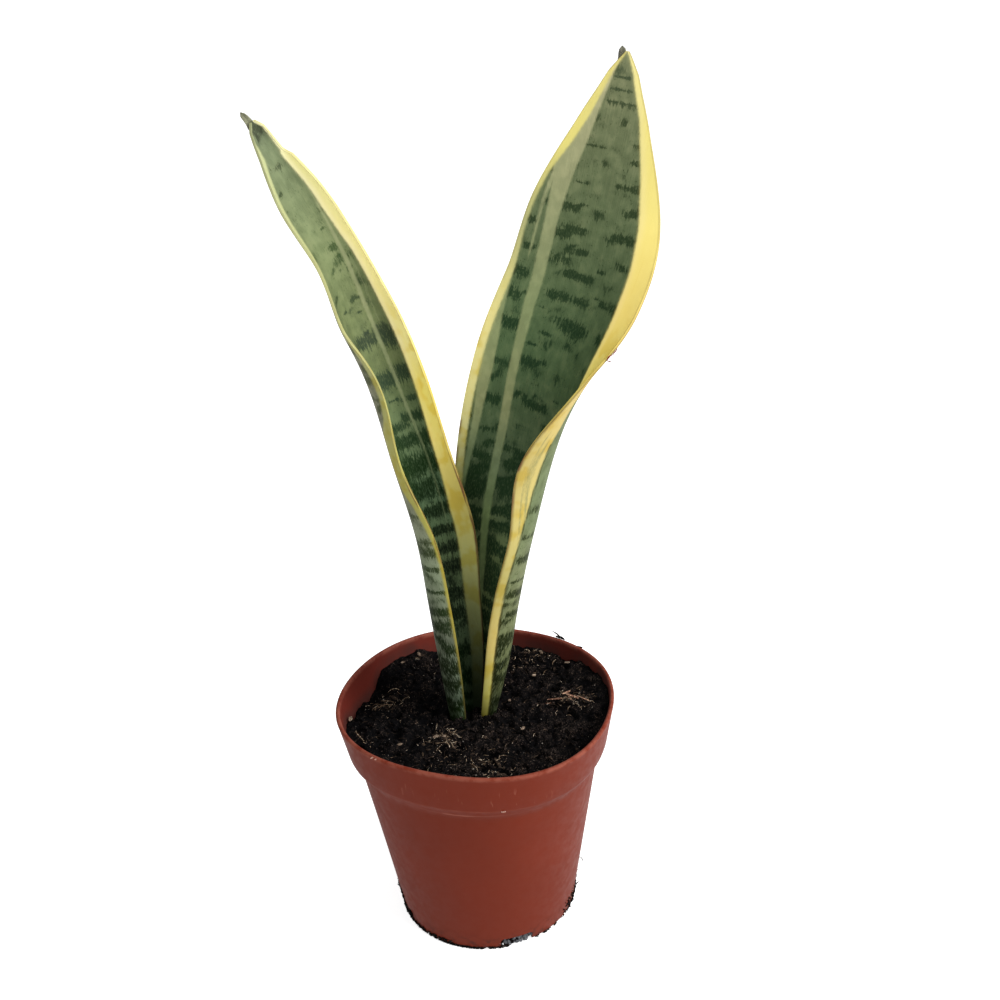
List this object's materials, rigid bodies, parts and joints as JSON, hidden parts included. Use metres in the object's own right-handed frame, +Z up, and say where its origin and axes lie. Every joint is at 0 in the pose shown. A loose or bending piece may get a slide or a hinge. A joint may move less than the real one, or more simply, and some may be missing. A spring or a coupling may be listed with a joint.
{
  "type": "potted snake plant",
  "caption": "Small potted snake plant: tall banded strap leaves with yellow margins, rolled together at the base, in a round tapered nursery pot of soil.",
  "frame": {"origin": "centre of the pot's flat underside, on the surface that the pot stands on", "axes": "+Z up along the pot's axis and the plant's height, -Y towards the side that the plant is looked at from, +X to that viewer's right"},
  "size_m": [0.1515, 0.1188, 0.3776],
  "materials": {
    "pot_plastic": "satin",
    "potting_soil": "matte",
    "rhizome_flesh": "matte",
    "leaf_pale": "satin",
    "leaf_green": "satin"
  },
  "bodies": {
    "root": {"pot": "pot_plastic", "soil": "potting_soil", "rhizome": "rhizome_flesh", "leaf_left": "leaf_pale", "leaf_right": "leaf_green"}
  },
  "joints": []
}
